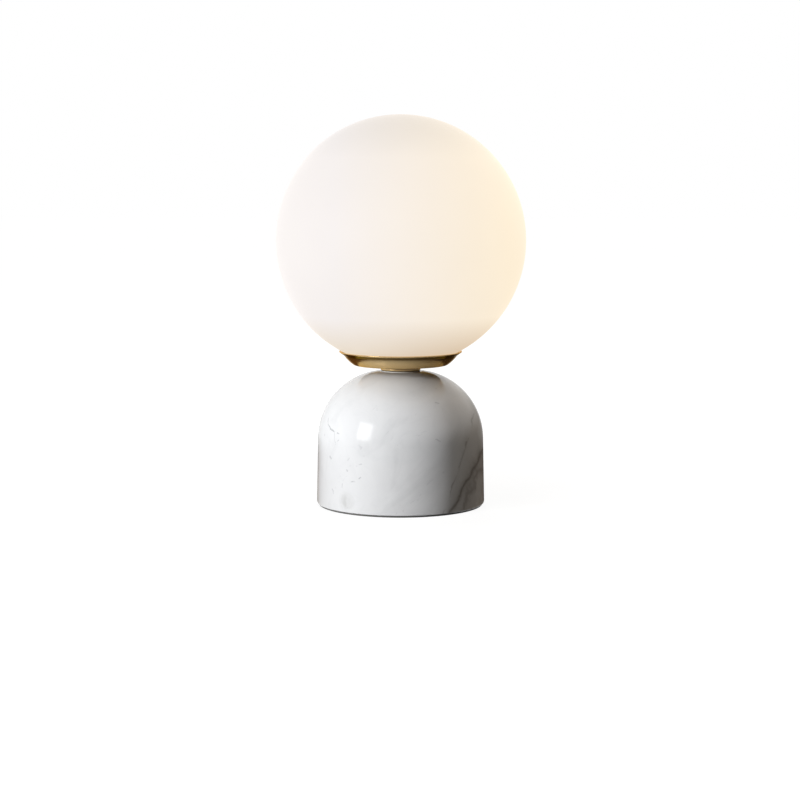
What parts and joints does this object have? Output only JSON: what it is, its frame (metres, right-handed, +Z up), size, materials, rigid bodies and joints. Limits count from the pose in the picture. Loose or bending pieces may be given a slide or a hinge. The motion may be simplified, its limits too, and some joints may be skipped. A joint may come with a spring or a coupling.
{
  "type": "glass globe table lamp",
  "caption": "Table lamp with a round opal glass globe seated in a shallow brass dish on a domed marble foot; globe and bulb lift out.",
  "frame": {"origin": "on the table, under the middle of the round foot", "axes": "+Z up along the lamp's axis, -Y towards the room (the front), +Y towards the flex gland at the back"},
  "size_m": [0.2, 0.2, 0.3121],
  "materials": {
    "marble": "polished white marble with grey veins",
    "felt": "dark felt",
    "zinc_steel": "zinc plated, satin",
    "spring_steel": "bright spring strip",
    "aluminium_rivet": "satin",
    "brass": "polished and lacquered",
    "nylon": "natural white moulding",
    "black_plastic": "fine satin moulding",
    "white_plastic": "smooth moulding",
    "diffuser_plastic": "frosted, translucent",
    "porcelain": "thin glaze",
    "nickel": "nickel plated",
    "tinned_copper": "tinned",
    "black_glass": "fused black glass",
    "silicone": "translucent",
    "brown_insulation": "soft sheath",
    "blue_insulation": "soft sheath",
    "green_insulation": "soft sheath, green with a yellow stripe",
    "board_white": "white solder mask on aluminium",
    "board_green": "solder mask",
    "led_phosphor": "yellow phosphor",
    "opal_glass": "satin opal, softly glowing"
  },
  "bodies": {
    "base": {"marble_base": "marble", "base_pad": "felt", "base_plate": "zinc_steel", "plate_screws": "zinc_steel", "plate_inserts": "brass", "flex_gland": "brass", "terminal_block": "nylon", "block_sleeves": "brass", "block_screws": "zinc_steel", "block_fixing_screw": "zinc_steel", "live_wire": "brown_insulation", "neutral_wire": "blue_insulation", "earth_wire": "green_insulation", "earth_tag": "tinned_copper", "threaded_tube": "zinc_steel", "foot_washer": "zinc_steel", "foot_lock_washer": "zinc_steel", "foot_nut": "zinc_steel", "collar_pad": "silicone", "neck_collar": "brass", "dish": "brass", "gallery_plate": "zinc_steel", "globe_springs": "spring_steel", "spring_rivets": "aluminium_rivet", "globe_gasket": "silicone", "dish_lock_washer": "zinc_steel", "dish_nut": "brass", "holder_cap": "black_plastic", "holder_grub_screw": "zinc_steel", "holder_insert": "porcelain", "contact_posts": "brass", "centre_contact": "spring_steel", "side_contact": "spring_steel", "holder_sleeve": "brass", "holder_shell": "black_plastic"},
    "globe": {"glass_globe": "opal_glass"},
    "bulb": {"bulb_tip": "tinned_copper", "bulb_insulator": "black_glass", "bulb_cap": "nickel", "bulb_housing": "white_plastic", "led_board": "board_white", "led_chips": "led_phosphor", "driver_board": "board_green", "bulb_diffuser": "diffuser_plastic"}
  },
  "joints": [
    {"name": "globe_lift", "type": "slide", "parent": "base", "child": "globe", "axis": [0, 0, 1], "range_m": [0, 0.12]},
    {"name": "bulb_lift", "type": "slide", "parent": "base", "child": "bulb", "axis": [0, 0, 1], "range_m": [0, 0.03]}
  ]
}
